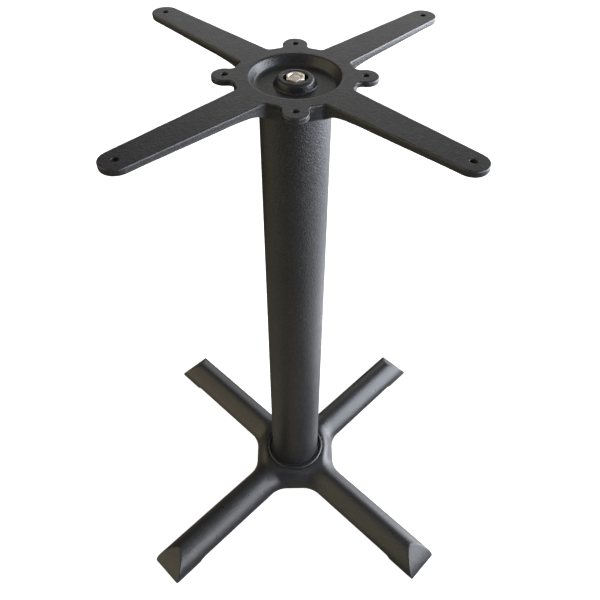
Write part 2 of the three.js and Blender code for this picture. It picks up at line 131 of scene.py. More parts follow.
# Fasteners and glides
ROD_RADIUS = cad("tie_rod")[1].x
ROD_HOLE_RADIUS = 6.8
NUT_ACROSS_FLATS = 18
WASHER_BORE = 6.5
WASHER_RADIUS = 12
BIG_WASHER_RADIUS = 18
GLIDE_STATION = 250
GLIDE_RADIUS = 15
GLIDE_RECESS_RADIUS = 17
GLIDE_RECESS_TOP = 6.8
STUD_RADIUS = 3.9
STUD_HOLE_RADIUS = 4.3
STUD_HOLE_TOP = 27


# ---- Fields ----
# The last argument of both(), either() and without() is the radius of the edge or fillet they make.

def smoothstep(value, low, high):
    t = np.clip((value - low) / (high - low), 0, 1)
    return t * t * (3 - 2 * t)


def both(a, b, radius):
    """What is inside a and inside b, with its edge rounded."""
    corner = np.hypot(np.maximum(a + radius, 0), np.maximum(b + radius, 0))
    return np.minimum(np.maximum(a, b), -radius) + corner


def either(a, b, radius):
    """What is inside a or b, with a fillet between them."""
    return -both(-a, -b, radius)


def without(a, b, radius):
    """What is inside a but not b, with its edge rounded."""
    return both(a, -b, radius)


def eighth(x, y):
    """A point folded into the eighth between the +X axis and the diagonal, which the others repeat."""
    return np.maximum(abs(x), abs(y)), np.minimum(abs(x), abs(y))


def outline_distance(outline, u, v):
    """Distance from a point to an outline, negative inside. The outline is a list of points across one
    eighth, from the X axis to the diagonal. It is closed well outside that eighth."""
    distance = np.full(np.broadcast(u, v).shape, np.inf)
    inside = np.zeros(distance.shape, bool)
    beyond = 5
    end = outline[-1][0]
    loop = [*outline, (end - beyond, end + beyond), (-beyond, beyond), (-beyond, -beyond),
            (outline[0][0], -beyond)]
    for i, (ax, ay) in enumerate(loop):
        bx, by = loop[(i + 1) % len(loop)]
        # Only the outline itself is measured to. The rest of the loop just tells inside from outside.
        if i + 1 < len(outline):
            length = max((bx - ax) ** 2 + (by - ay) ** 2, 1e-12)
            share = np.clip(((u - ax) * (bx - ax) + (v - ay) * (by - ay)) / length, 0, 1)
            aside = np.hypot(u - ax - share * (bx - ax), v - ay - share * (by - ay))
            distance = np.minimum(distance, aside)
        if ay != by:
            crosses = (ay > v) != (by > v)
            inside ^= crosses & (u < ax + (v - ay) * (bx - ax) / (by - ay))
    return np.where(inside, -distance, distance)


def arc(centre, radius, start, end, steps=16):
    angles = np.linspace(start, end, steps + 1)
    return [(centre[0] + radius * math.cos(a), centre[1] + radius * math.sin(a)) for a in angles]


# ---- Meshes from fields ----

def surface_net(field, low, high, step):
    """The zero surface of field inside a box, as corner points and quads. field takes x, y and z arrays
    that broadcast together."""
    counts = [int(math.ceil((high[k] - low[k]) / step)) + 1 for k in range(3)]
    axes = [low[k] + step * np.arange(counts[k]) for k in range(3)]
    x, y, z = axes[0][:, None, None], axes[1][None, :, None], axes[2][None, None, :]
    values = np.broadcast_to(field(x, y, z), counts)
    inside = values < 0
    cells = tuple(n - 1 for n in counts)

    def at_corner(array, corner):
        return array[tuple(slice(c, c + n) for c, n in zip(corner, cells))]

    corners = [(i, j, k) for i in (0, 1) for j in (0, 1) for k in (0, 1)]
    filled = sum(at_corner(inside, c).astype(np.int8) for c in corners)
    active = (filled > 0) & (filled < 8)
    number = np.full(cells, -1)
    number[active] = np.arange(active.sum())

    # Each cell that the surface passes through gets one point, in the middle of where it cuts the edges.
    total = np.zeros((active.sum(), 3))
    crossings = np.zeros(active.sum())
    for axis in range(3):
        along = np.eye(3, dtype=int)[axis]
        for corner in (c for c in corners if c[axis] == 0):
            first = at_corner(values, corner)[active]
            second = at_corner(values, tuple(np.add(corner, along)))[active]
            crossed = (first < 0) != (second < 0)
            share = np.where(crossed, first / np.where(crossed, first - second, 1), 0)
            total += crossed[:, None] * (np.array(corner) + share[:, None] * along)
            crossings += crossed
    origin = np.argwhere(active)
    points = np.array(low) + step * (origin + total / crossings[:, None])

    # Each edge that the surface cuts gets a quad, from the points of the four cells round it.
    quads = []
    for axis in range(3):
        ahead = [slice(None)] * 3
        behind = [slice(None)] * 3
        ahead[axis], behind[axis] = slice(1, None), slice(None, -1)
        p, q = [k for k in range(3) if k != axis]
        changed = np.argwhere(inside[tuple(behind)] != inside[tuple(ahead)])
        changed = changed[(changed[:, p] > 0) & (changed[:, q] > 0)]
        changed = changed[(changed[:, p] < cells[p]) & (changed[:, q] < cells[q])]
        ring = []
        for dp, dq in ((1, 1), (0, 1), (0, 0), (1, 0)):
            cell = changed.copy()
            cell[:, p] -= dp
            cell[:, q] -= dq
            ring.append(number[tuple(cell.T)])
        ring = np.stack(ring, 1)
        outward = inside[tuple(changed.T)] != (axis == 1)
        ring[~outward] = ring[~outward][:, ::-1]
        quads.append(ring)
    return points, np.concatenate(quads)


def slope(field, points):
    """The field and its slope at each point."""
    reach = 0.04
    value = field(*points.T)
    parts = []
    for axis in range(3):
        offset = np.eye(3)[axis] * reach
        parts.append((field(*(points + offset).T) - field(*(points - offset).T)) / (2 * reach))
    return value, np.stack(parts, 1)


def settle(field, points, step, rounds=4):
    """Moves each point straight onto the zero surface."""
    for _ in range(rounds):
        value, gradient = slope(field, points)
        move = value[:, None] * gradient / np.maximum((gradient ** 2).sum(1), 1e-9)[:, None]
        size = np.linalg.norm(move, axis=1, keepdims=True)
        points = points - move * np.minimum(1, 0.35 * step / np.maximum(size, 1e-9))
    return points


def even_out(field, points, quads, step, rounds=2):
    """Slides the points along the surface towards the middle of their neighbours, so that the quads are
    alike."""
    pairs = np.concatenate([quads[:, [i, (i + 1) % 4]] for i in range(4)])
    for _ in range(rounds):
        total = np.zeros_like(points)
        np.add.at(total, pairs[:, 0], points[pairs[:, 1]])
        np.add.at(total, pairs[:, 1], points[pairs[:, 0]])
        degree = np.bincount(pairs.ravel(), minlength=len(points))
        toward = total / degree[:, None] - points
        normal = unit(slope(field, points)[1])
        toward -= (toward * normal).sum(1, keepdims=True) * normal
        points = settle(field, points + 0.5 * toward, step, 2)
    return points


def unit(vectors):
    return vectors / np.maximum(np.linalg.norm(vectors, axis=1, keepdims=True), 1e-12)


def cast_mesh(field, low, high, step):
    """Points, quads and normals of the field's zero surface."""
    points, quads = surface_net(field, low, high, step)
    points = settle(field, points, step)
    points = even_out(field, points, quads, step)
    return points, quads, unit(slope(field, points)[1])


# ---- Pieces ----

def make_piece(name, points, faces, material, body, nodes, normals=None):
    """A smooth-shaded mesh in metres that rides on a body and stands for CAD nodes."""
    if isinstance(faces, np.ndarray):
        faces = faces.tolist()
    mesh = bpy.data.meshes.new(name)
    mesh.from_pydata((points * MM).tolist(), [], faces)
    mesh.shade_smooth()
    if normals is not None:
        mesh.normals_split_custom_set_from_vertices(normals.tolist())
    mesh.materials.append(material)
    piece = bpy.data.objects.new(name, mesh)
    bpy.context.scene.collection.objects.link(piece)
    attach(piece, body)
    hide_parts(*nodes)
    return piece


def turned_about_z(points, degrees):
    angle = math.radians(degrees)
    c, s = math.cos(angle), math.sin(angle)
    return points @ np.array([[c, s, 0], [-s, c, 0], [0, 0, 1]])


# ---- Foot casting, its legs along X and Y until it is turned by 45 degrees ----

def foot_skin(u, v, z, inset, drop):
    """The arched skin, its outline moved in by inset and its crest lowered by drop."""
    # The outline is a leg's straight side, then a fillet, then the flat of the valley.
    half = LEG_HALF_WIDTH - inset
    valley = VALLEY_RADIUS - inset
    fillet = VALLEY_FILLET + inset
    centre_u = valley * math.sqrt(2) - half + fillet * math.tan(math.pi / 8)
    centre_v = half + fillet
    turn = np.arctan2(centre_u - u, centre_v - v)
    on_arc = np.hypot(centre_u - u, centre_v - v) - fillet
    on_flat = valley - (u + v) / math.sqrt(2)
    inward = np.where(turn < 0, half - v, np.where(turn < math.pi / 4, on_arc, on_flat))

    # The arch rises into the hub's flat top: hubward is 0 on the legs and nearly 1 on the hub.
    hubward = np.minimum(1 - smoothstep(np.hypot(u, v), SEAT_LIP_RADIUS, valley), 0.998)
    rise = (z - hubward * (HUB_Z - drop)) / (1 - hubward) - LEG_SKIRT_Z
    across = np.maximum(1 - inward / half, 0)
    up = np.maximum(rise, 0) / (LEG_CREST_Z - drop - LEG_SKIRT_Z)
    arch = (across ** ARCH_POWER + up ** ARCH_POWER) ** (1 / ARCH_POWER) - 1
    return arch * half * (1 - hubward)


def leg_end(u, z):
    """The crowned end face: an arc, carried on by its tangents."""
    slant = math.radians(LEG_END_ANGLE)
    chord = (LEG_CREST_Z - PAD_Z) / math.sin(slant)
    half_arc = 2 * math.atan(2 * LEG_END_BULGE / chord)
    radius = chord / 2 / math.sin(half_arc)
    lower = math.pi / 2 - slant - half_arc
    centre_u = FOOT_REACH - radius * math.cos(lower)
    centre_z = PAD_Z - radius * math.sin(lower)
    direction = np.clip(np.arctan2(z - centre_z, u - centre_u), lower, lower + 2 * half_arc)
    return (u - centre_u) * np.cos(direction) + (z - centre_z) * np.sin(direction) - radius


def foot_field(x, y, z):
    """The whole foot except its rim."""
    u, v = eighth(x, y)
    from_axis = np.hypot(u, v)
    pad_start = FOOT_REACH - PAD_LENGTH
    ramp_drop = LEG_SKIRT_Z - PAD_Z
    ramp = ramp_drop * (u - pad_start) + PAD_RAMP * (z - LEG_SKIRT_Z)
    ramp = -ramp / math.hypot(ramp_drop, PAD_RAMP)
    below = either(LEG_SKIRT_Z - z, both(PAD_Z - z, ramp, 1), 1.5)
    end = both(leg_end(u, z), below, 2.5)
    shape = both(foot_skin(u, v, z, 0, 0), end, 1)

    # The hollow underneath, with the seat's plate and the four ribs left standing in it
    hollow_end = pad_start - 3
    hollow = both(foot_skin(u, v, z, FOOT_WALL, FOOT_WALL), u - hollow_end, 4)
    plate = both(from_axis - SEAT_RADIUS - FOOT_WALL, SEAT_Z - SEAT_PLATE - z, 1)
    hollow = without(hollow, plate, 2)
    rib = np.maximum((u - v) / math.sqrt(2) - RIB_THICKNESS / 2, RIB_INNER_RADIUS - from_axis)
    hollow = without(hollow, both(rib, RIB_Z - z, 1.5), 2)
    shape = without(shape, hollow, 1.2)

    # The groove that the column stands in, and what it leaves standing in its middle
    under_rim = (SEAT_RADIUS + SEAT_RIM_RADIUS) / 2
    groove = both(from_axis - under_rim, SEAT_Z + SEAT_FILL - z, 0.3)
    groove = without(groove, from_axis - REGISTER_RADIUS, 0.3)
    shape = without(shape, groove, 0.6)
    shape = without(shape, from_axis - ROD_HOLE_RADIUS, 0.8)

    # The glide's recess and its stud's hole
    from_stud = np.hypot(u - GLIDE_STATION, v)
    shape = without(shape, np.maximum(from_stud - GLIDE_RECESS_RADIUS, z - GLIDE_RECESS_TOP), 0.8)
    return without(shape, np.maximum(from_stud - STUD_HOLE_RADIUS, z - STUD_HOLE_TOP), 0.5)


def make_seat_rim(material):
    """The low rim round the column's groove, sunk into the foot, with a sloping outer side."""
    low, high = SEAT_Z - 1, HUB_Z + SEAT_RIM_RISE
    foot_of_slope = (SEAT_RIM_RADIUS + 1, HUB_Z - 0.4)
    profile = rounded([
        (SEAT_RADIUS, low), (SEAT_RIM_RADIUS + 1, low), foot_of_slope,
        (SEAT_RIM_RADIUS - 0.5, high), (SEAT_RADIUS, high),
    ], 0.5)
    points, faces = lathe(profile, segments=160, closed=True)
    return make_piece("foot_seat_rim", points, faces, material, "stand", ["base_casting"])


def make_foot(material):
    margin = 3
    reach = FOOT_REACH + margin
    points, quads, normals = cast_mesh(
        foot_field, (-reach, -reach, PAD_Z - margin), (reach, reach, HUB_Z + margin), FOOT_STEP,
    )
    points, normals = turned_about_z(points, 45), turned_about_z(normals, 45)
    return make_piece(
        "foot_casting", points, quads, material, "stand", ["base_casting"], normals,
    )


# ---- Top plate casting, its arms along X and Y until it is turned by 45 degrees ----

def plate_outline(with_lugs):
    """One eighth of the outline: the arm's tip, its side, a fillet, the round hub, and half a lug."""
    taper = math.atan((ARM_ROOT_HALF_WIDTH - ARM_TIP_HALF_WIDTH) / (ARM_HOLE_RADIUS - HUB_RADIUS))
    hubwards = np.array([-math.cos(taper), math.sin(taper)])
    outward = np.array([math.sin(taper), math.cos(taper)])
    tip = np.array([ARM_HOLE_RADIUS, 0.0])
    # The fillet's centre slides along the arm until the fillet touches the round hub.
    offset = tip + outward * (ARM_TIP_HALF_WIDTH + ARM_FILLET)
    along = offset @ hubwards
    slide = -along - math.sqrt(along ** 2 - offset @ offset + (HUB_RADIUS + ARM_FILLET) ** 2)
    fillet = offset + hubwards * slide
    side_angle = math.atan2(outward[1], outward[0])
    hub_angle = math.atan2(fillet[1], fillet[0])
    points = arc(tip, ARM_TIP_HALF_WIDTH, 0, side_angle)
    points += arc(fillet, ARM_FILLET, side_angle + math.pi, hub_angle + math.pi)
    if not with_lugs:
        return points + arc((0, 0), HUB_RADIUS, hub_angle, math.pi / 4)

    # The lug's fillet touches the hub and the lug's round end: its centre and theirs make a triangle.
    a, b = HUB_RADIUS + LUG_FILLET, LUG_END_RADIUS + LUG_FILLET
    spread = math.acos((a * a + LUG_HOLE_RADIUS ** 2 - b * b) / (2 * a * LUG_HOLE_RADIUS))
    lug_hub_angle = math.pi / 4 - spread
    lug_fillet = a * np.array([math.cos(lug_hub_angle), math.sin(lug_hub_angle)])
    lug = LUG_HOLE_RADIUS * np.array([1, 1]) / math.sqrt(2)
    lug_angle = math.atan2(*(lug - lug_fillet)[::-1])
    points += arc((0, 0), HUB_RADIUS, hub_angle, lug_hub_angle)
    points += arc(lug_fillet, LUG_FILLET, lug_hub_angle + math.pi, lug_angle)
    return points + arc(lug, LUG_END_RADIUS, lug_angle - math.pi, math.pi / 4)


PLATE_OUTLINE = plate_outline(False)
LUG_OUTLINE = plate_outline(True)


def arm_hollow(u, v, z):
    """The shallow hollow under one arm."""
    tip_half = ARM_TIP_HALF_WIDTH - ARM_FLANGE
    round_end = ARM_HOLLOW_END - tip_half
    share = np.clip((u - ARM_HOLLOW_START) / (round_end - ARM_HOLLOW_START), 0, 1)
    half = (ARM_ROOT_HALF_WIDTH - ARM_FLANGE - 1) * (1 - share) + tip_half * share
    side = np.where(u < round_end, v - half, np.hypot(u - round_end, v) - tip_half)
    return both(both(side, ARM_HOLLOW_START - u, 4), z + ARM_WEB, 2)


def plate_field(x, y, z):
    """The whole top plate."""
    u, v = eighth(x, y)
    from_axis = np.hypot(u, v)

    # The lugs, and the arms, whose underside slopes down towards the hub and flares into it
    end = ARM_HOLE_RADIUS + ARM_TIP_HALF_WIDTH + 5
    beyond_hub = np.maximum(from_axis - HUB_RADIUS, 0)
    taper = (ARM_ROOT_DEPTH - ARM_TIP_DEPTH) * (1 - beyond_hub / (end - HUB_RADIUS))
    flare = (HUB_DEPTH - ARM_ROOT_DEPTH) * np.exp(-beyond_hub / ARM_FLARE)
    steepness = flare / ARM_FLARE
    under = (-ARM_TIP_DEPTH - taper - flare - z) / np.sqrt(1 + steepness ** 2)
    draft = -z * DRAFT
    arms = both(outline_distance(PLATE_OUTLINE, u, v) + draft, under, 1)
    lugs = both(outline_distance(LUG_OUTLINE, u, v) + draft, -LUG_THICKNESS - z, 1)
    shape = both(either(arms, lugs, 1.2), z, TOP_EDGE)

    # The spigot that fits into the column, and the hollows under the arms
    register = both(from_axis - REGISTER_RADIUS, -HUB_DEPTH - REGISTER_HEIGHT - z, 0.8)
    overlap = 3
    shape = np.minimum(shape, np.maximum(register, z + HUB_DEPTH - overlap))
    shape = without(shape, arm_hollow(u, v, z), 1.2)

    # The dish, with the boss in its middle, both with leaning walls
    lean = math.atan2(DISH_RIM_RADIUS - DISH_FLOOR_RADIUS, DISH_DEPTH)
    from_wall = (from_axis - DISH_RIM_RADIUS) * math.cos(lean) - z * math.sin(lean)
    lean = math.atan2(BOSS_RADIUS - BOSS_TOP_RADIUS, DISH_DEPTH - BOSS_DROP)
    from_boss = (from_axis - BOSS_TOP_RADIUS) * math.cos(lean) + (z + BOSS_DROP) * math.sin(lean)
    dish = without(both(from_wall, -DISH_DEPTH - z, 2), both(from_boss, z + BOSS_DROP, 2.5), 1.2)
    shape = without(shape, dish, 1.3)

    # The nut's counterbore and the holes
    counterbore = np.maximum(from_axis - COUNTERBORE_RADIUS, -COUNTERBORE_DEPTH - z)
    shape = without(shape, counterbore, 1)
    shape = without(shape, from_axis - ROD_HOLE_RADIUS, 0.6)
    shape = without(shape, np.hypot(u - ARM_HOLE_RADIUS, v) - SCREW_HOLE_RADIUS, 0.7)
    lug_at = LUG_HOLE_RADIUS / math.sqrt(2)
    return without(shape, np.hypot(u - lug_at, v - lug_at) - SCREW_HOLE_RADIUS, 0.7)


def make_top_plate(material):
    margin = 3
    reach = ARM_HOLE_RADIUS + ARM_TIP_HALF_WIDTH + margin
    lowest = -HUB_DEPTH - REGISTER_HEIGHT - margin
    points, quads, normals = cast_mesh(
        plate_field, (-reach, -reach, lowest), (reach, reach, margin), PLATE_STEP,
    )
    points, normals = turned_about_z(points, 45), turned_about_z(normals, 45)
    points[:, 2] += HEIGHT
    return make_piece(
        "top_plate", points, quads, material, "stand", ["top_plate_casting"], normals,
    )


# ---- Turned pieces ----

def rounded(profile, radius, steps=4):
    """A closed profile of (r, z) points whose corners off the axis are rounded."""
    result = []
    for i, point in enumerate(profile):
        here = Vector(point)
        before, after = Vector(profile[i - 1]), Vector(profile[(i + 1) % len(profile)])
        if here.x == 0:
            result.append(tuple(here))
            continue
        back, on = (before - here), (after - here)
        cut = min(radius, back.length * 0.45, on.length * 0.45)
        first, last = here + back.normalized() * cut, here + on.normalized() * cut
        for step in range(steps + 1):
            t = step / steps
            result.append(tuple((1 - t) ** 2 * first + 2 * t * (1 - t) * here + t ** 2 * last))
    return result


def lathe(profile, segments, closed):
    """Points and faces of a profile turned about Z. A closed profile makes a ring. An open one starts
    and ends on the axis."""
    ring = profile if closed else profile[1:-1]
    angles = np.arange(segments) * 2 * math.pi / segments
    points = [(r * math.cos(a), r * math.sin(a), z) for r, z in ring for a in angles]
    rows = len(ring)
    faces = []
    for row in range(rows if closed else rows - 1):
        for k in range(segments):
            a, b = row * segments + k, row * segments + (k + 1) % segments
            c, d = [(i + segments) % (rows * segments) for i in (b, a)]
            faces.append((a, b, c, d))
    if not closed:
        points += [(0, 0, profile[0][1]), (0, 0, profile[-1][1])]
        bottom, top = rows * segments, rows * segments + 1
        last = (rows - 1) * segments
        for k in range(segments):
            faces.append((bottom, (k + 1) % segments, k))
            faces.append((top, last + k, last + (k + 1) % segments))
    return np.array(points, float), faces


def make_column(material):
    low, high = cad("column_tube")
    inner = COLUMN_RADIUS - COLUMN_WALL
    profile = rounded([
        (inner, low.z), (COLUMN_RADIUS, low.z), (COLUMN_RADIUS, high.z), (inner, high.z),
    ], 0.6)
    points, faces = lathe(profile, segments=160, closed=True)
    return make_piece("column", points, faces, material, "stand", ["column_tube"])


def make_washer(name, node, outer, material):
    """A flat washer with rounded edges."""
    low, high = cad(node)
    profile = rounded([
        (WASHER_BORE, low.z), (outer, low.z), (outer, high.z), (WASHER_BORE, high.z),
    ], 0.5)
    points, faces = lathe(profile, segments=72, closed=True)
    return make_piece(name, points, faces, material, "stand", [node])


def make_spring_washer(material):
    """A split ring whose ends stand a little apart in height."""
    low, high = cad("bottom_spring_washer")
    outer = high.x
    lift = 0.4
    section = rounded([
        (WASHER_BORE, low.z), (outer, low.z), (outer, high.z - lift), (WASHER_BORE, high.z - lift),
    ], 0.35)
    gap = math.asin(0.9 / WASHER_BORE)  # half the angle between its ends
    steps = 72
    points = []
    for step in range(steps + 1):
        share = step / steps
        angle = gap + share * (2 * math.pi - 2 * gap)
        rise = lift * share
        points += [(r * math.cos(angle), r * math.sin(angle), z + rise) for r, z in section]
    n = len(section)
    faces = [
        (step * n + k, (step + 1) * n + k, (step + 1) * n + (k + 1) % n, step * n + (k + 1) % n)
        for step in range(steps) for k in range(n)
    ]
    faces += [tuple(range(n)), tuple(steps * n + k for k in reversed(range(n)))]
    faces = [face[::-1] for face in faces]
    points = np.array(points)
    return make_piece(
        "spring_washer", points, faces, material, "stand", ["bottom_spring_washer"],
    )


def threaded_rod(radius, pitch, low, high, threads, segments):
    """A rod with a V-shaped thread between each pair of heights in threads, as rings of points."""
    depth = 0.6 * pitch
    chamfer = 1.2
    levels = {low, high, low + chamfer, high - chamfer}
    for start, end in threads:
        levels.update(np.arange(start, end, pitch / 8).round(4).tolist())
    levels = sorted(z for z in levels if low <= z <= high)
    angles = np.arange(segments) * 2 * math.pi / segments
    points = [(0, 0, low)]
    for z in levels:
        # How deep the thread is here, from 0 on its crest to 1 at its root. It fades out at both ends.
        phase = (z / pitch - angles / (2 * math.pi)) % 1
        groove = np.clip(1.25 * (1 - 2 * abs(phase - 0.5)) - 0.125, 0, 1)
        fade = max((min(z - start, end - z) / pitch for start, end in threads), default=0)
        groove = groove * min(max(fade * 2 + 0.5, 0), 1)
        size = radius - depth * groove
        size = np.minimum(size, radius - max(0, chamfer - (z - low), chamfer - (high - z)))
        points += [(s * math.cos(a), s * math.sin(a), z) for s, a in zip(size, angles)]
    points.append((0, 0, high))
    faces = []
    for row in range(len(levels) - 1):
        for k in range(segments):
            a, b = 1 + row * segments + k, 1 + row * segments + (k + 1) % segments
            faces.append((a, b, b + segments, a + segments))
    last = 1 + (len(levels) - 1) * segments
    for k in range(segments):
        faces.append((0, 1 + (k + 1) % segments, 1 + k))
        faces.append((len(points) - 1, last + k, last + (k + 1) % segments))
    return np.array(points, float), faces


def make_tie_rod(material):
    """The M12 rod, threaded at both ends."""
    low, high = cad("tie_rod")
    pitch, lower_thread, upper_thread = 1.75, 34, 26
    threads = [(low.z, low.z + lower_thread), (high.z - upper_thread, high.z)]
    points, faces = threaded_rod(ROD_RADIUS, pitch, low.z, high.z, threads, segments=48)
    return make_piece("tie_rod_steel", points, faces, material, "stand", ["tie_rod"])


def make_nut(name, node, material):
    """A hexagon nut whose corners are chamfered to a cone at both faces, bored for its rod."""
    low, high = cad(node)
    apothem = NUT_ACROSS_FLATS / 2
    face_radius = apothem * 0.95
    bore = ROD_RADIUS + 0.3
    segments = 120
    tilt = math.tan(math.pi / 6)  # slope of the corners' chamfer
    edge = 0.25
    rings = []
    for k in range(segments):
        angle = 2 * math.pi * k / segments
        from_flat = (angle + math.pi / 6) % (math.pi / 3) - math.pi / 6
        reach = apothem / math.cos(from_flat)
        # The corners are rolled a little, so that the hexagon's edges aren't razor sharp.
        reach = min(reach, apothem / math.cos(math.pi / 6) - 0.12)
        drop = max(0.0, reach - face_radius) * tilt
        # Half the section: out of the bore, over its chamfer and the upper face, and down to the side
        half = [
            (bore, high.z - 1.1), (bore + 1.1, high.z - 0.05), (bore + 1.3, high.z),
            (face_radius - 0.35, high.z), (face_radius + 0.05, high.z - 0.07),
            (reach - edge, high.z - max(drop - edge * tilt, 0.12)), (reach, high.z - drop - edge),
        ]
        mirrored = [(r, low.z + high.z - z) for r, z in reversed(half)]
        rings.append([(r * math.cos(angle), r * math.sin(angle), z) for r, z in half + mirrored])
    rows = len(rings[0])
    points = np.array([p for ring in rings for p in ring])
    faces = []
    for k in range(segments):
        here, there = k * rows, (k + 1) % segments * rows
        for row in range(rows):
            after = (row + 1) % rows
            faces.append((here + row, here + after, there + after, there + row))
    piece = make_piece(name, points, faces, material, "stand", [node])
    piece.data.set_sharp_from_angle(angle=math.radians(28))
    return piece


def make_glides(nylon, zinc):
    """A moulded nylon foot under each leg's pad, on an M8 stud."""
    for k, corner in enumerate(QUARTERS):
        angle = math.radians(45 + 90 * k)
        place = np.array([GLIDE_STATION * math.cos(angle), GLIDE_STATION * math.sin(angle), 0])
        foot, stud = f"glide_foot_{corner}", f"glide_stud_{corner}"
        low, high = cad(foot)
        inner = STUD_RADIUS + 0.3
        profile = rounded([
            (0, low.z), (GLIDE_RADIUS - 3, low.z), (GLIDE_RADIUS, low.z + 1.5),
            (GLIDE_RADIUS, high.z - 1.2), (GLIDE_RADIUS - 2, high.z), (inner + 2.4, high.z),
            (inner + 1.8, high.z - 0.7), (inner, high.z - 0.7), (inner, low.z + 2.7), (0, low.z + 2.7),
        ], 0.6)
        points, faces = lathe(profile, segments=64, closed=False)
        body = f"glide_{corner}"
        make_piece(f"glide_{corner}_base", points + place, faces, nylon, body, [foot])
        low, high = cad(stud)
        pitch, plain_end = 1.25, 4
        threads = [(low.z + plain_end, high.z)]
        points, faces = threaded_rod(STUD_RADIUS, pitch, low.z, high.z, threads, segments=32)
        make_piece(f"glide_{corner}_stud", points + place, faces, zinc, body, [stud])


# ---- Materials ----

class Nodes:
    """A material's node tree, with one short call per node."""

    def __init__(self, name):
        self.material = bpy.data.materials.new(name)
        self.material.use_nodes = True
        self.tree = self.material.node_tree
        self.shader = self.tree.nodes["Principled BSDF"]
        self.place = self.add("ShaderNodeTexCoord").outputs["Object"]

    def add(self, kind, **settings):
        node = self.tree.nodes.new(kind)
        for key, value in settings.items():
            setattr(node, key, value)
        return node

    def link(self, source, target):
        self.tree.links.new(source, target)

    def noise(self, scale, detail=3.0, roughness=0.5, distortion=0.0):
        node = self.add("ShaderNodeTexNoise")
        self.link(self.place, node.inputs["Vector"])
        node.inputs["Scale"].default_value = scale
        node.inputs["Detail"].default_value = detail
        node.inputs["Roughness"].default_value = roughness
        node.inputs["Distortion"].default_value = distortion
        return node.outputs["Fac"]

    def ramp(self, source, low, high, start=0.0, end=1.0):
        node = self.add("ShaderNodeMapRange")
        self.link(source, node.inputs["Value"])
        node.inputs["From Min"].default_value = low
        node.inputs["From Max"].default_value = high
        node.inputs["To Min"].default_value = start
        node.inputs["To Max"].default_value = end
        return node.outputs["Result"]

    def math(self, operation, a, b):
        node = self.add("ShaderNodeMath", operation=operation)
        for socket, value in zip(node.inputs, (a, b)):
            if isinstance(value, (int, float)):
                socket.default_value = value
            else:
                self.link(value, socket)
        return node.outputs["Value"]

    def mix(self, factor, first, second):
        """A mix of two colors. A Mix node has its colors at inputs 6 and 7 and at output 2."""
        node = self.add("ShaderNodeMix", data_type="RGBA")
        self.link(factor, node.inputs["Factor"])
        for socket, value in ((node.inputs[6], first), (node.inputs[7], second)):
            if isinstance(value, tuple):
                socket.default_value = (*value, 1)
            else:
                self.link(value, socket)
        return node.outputs[2]

    def bump(self, height, distance, strength=1.0, under=None):
        node = self.add("ShaderNodeBump")
        self.link(height, node.inputs["Height"])
        node.inputs["Distance"].default_value = distance
        node.inputs["Strength"].default_value = strength
        if under is not None:
            self.link(under, node.inputs["Normal"])
        return node.outputs["Normal"]

    def edges(self, low, high):
        """1 on convex edges, 0 elsewhere."""
        return self.ramp(self.add("ShaderNodeNewGeometry").outputs["Pointiness"], low, high)


def powder_coat(name, roughness, grain_scale, grain_depth):
    """Black textured powder coat: a fine wrinkle over a broader unevenness, rubbed on its edges."""
    n = Nodes(name)
    drift = n.noise(9, 2)
    speck = n.noise(520, 2)
    color = n.mix(n.ramp(drift, 0.3, 0.7), (0.014, 0.0145, 0.017), (0.022, 0.022, 0.023))
    color = n.mix(n.ramp(speck, 0.52, 0.72, 0, 0.6), color, (0.055, 0.055, 0.058))
    rubbed = n.math("MULTIPLY", n.edges(0.53, 0.6), n.ramp(n.noise(160, 4), 0.42, 0.66))
    color = n.mix(n.math("MULTIPLY", rubbed, 0.5), color, (0.16, 0.155, 0.15))
    n.link(color, n.shader.inputs["Base Color"])
    worn = n.ramp(n.noise(60, 3), 0.3, 0.7, roughness - 0.04, roughness + 0.04)
    n.link(worn, n.shader.inputs["Roughness"])
    n.shader.inputs["Specular IOR Level"].default_value = 0.5
    wrinkle = n.bump(n.noise(grain_scale, 2, 0.6), grain_depth)
    n.link(n.bump(n.noise(190, 2), grain_depth, 0.4, wrinkle), n.shader.inputs["Normal"])
    return n.material


def bright_zinc(name):
    """Zinc plate gone a little dull, with a fine cloudiness."""
    n = Nodes(name)
    tint = n.mix(n.ramp(n.noise(260, 3), 0.35, 0.7), (0.96, 0.88, 0.79), (0.82, 0.75, 0.67))
    n.link(tint, n.shader.inputs["Base Color"])
    n.shader.inputs["Metallic"].default_value = 0.85
    n.link(n.ramp(n.noise(420, 3), 0.3, 0.7, 0.40, 0.55), n.shader.inputs["Roughness"])
    n.link(n.bump(n.noise(900, 3), 0.0001, 0.5), n.shader.inputs["Normal"])
    return n.material


def black_oxide(name):
    """Dark steel, rubbed bright on its edges."""
    n = Nodes(name)
    rubbed = n.math("MULTIPLY", n.edges(0.53, 0.62), n.ramp(n.noise(300, 3), 0.4, 0.65))
    color = n.mix(n.ramp(n.noise(300, 3), 0.35, 0.7), (0.030, 0.030, 0.033), (0.055, 0.052, 0.050))
    n.link(n.mix(rubbed, color, (0.3, 0.29, 0.28)), n.shader.inputs["Base Color"])
    n.shader.inputs["Metallic"].default_value = 0.6
    n.link(n.ramp(n.noise(500, 3), 0.3, 0.7, 0.35, 0.5), n.shader.inputs["Roughness"])
    n.link(n.bump(n.noise(800, 3), 0.0001, 0.5), n.shader.inputs["Normal"])
    return n.material


def moulded_nylon(name):
    """Matt black plastic."""
    n = Nodes(name)
    color = n.mix(n.ramp(n.noise(120, 3), 0.35, 0.65), (0.020, 0.020, 0.021), (0.034, 0.034, 0.035))
    n.link(color, n.shader.inputs["Base Color"])
    n.link(n.ramp(n.noise(500, 2), 0.3, 0.7, 0.45, 0.6), n.shader.inputs["Roughness"])
    n.link(n.bump(n.noise(1600, 2), 0.0001, 0.4), n.shader.inputs["Normal"])
    return n.material


# ---- Studio ----

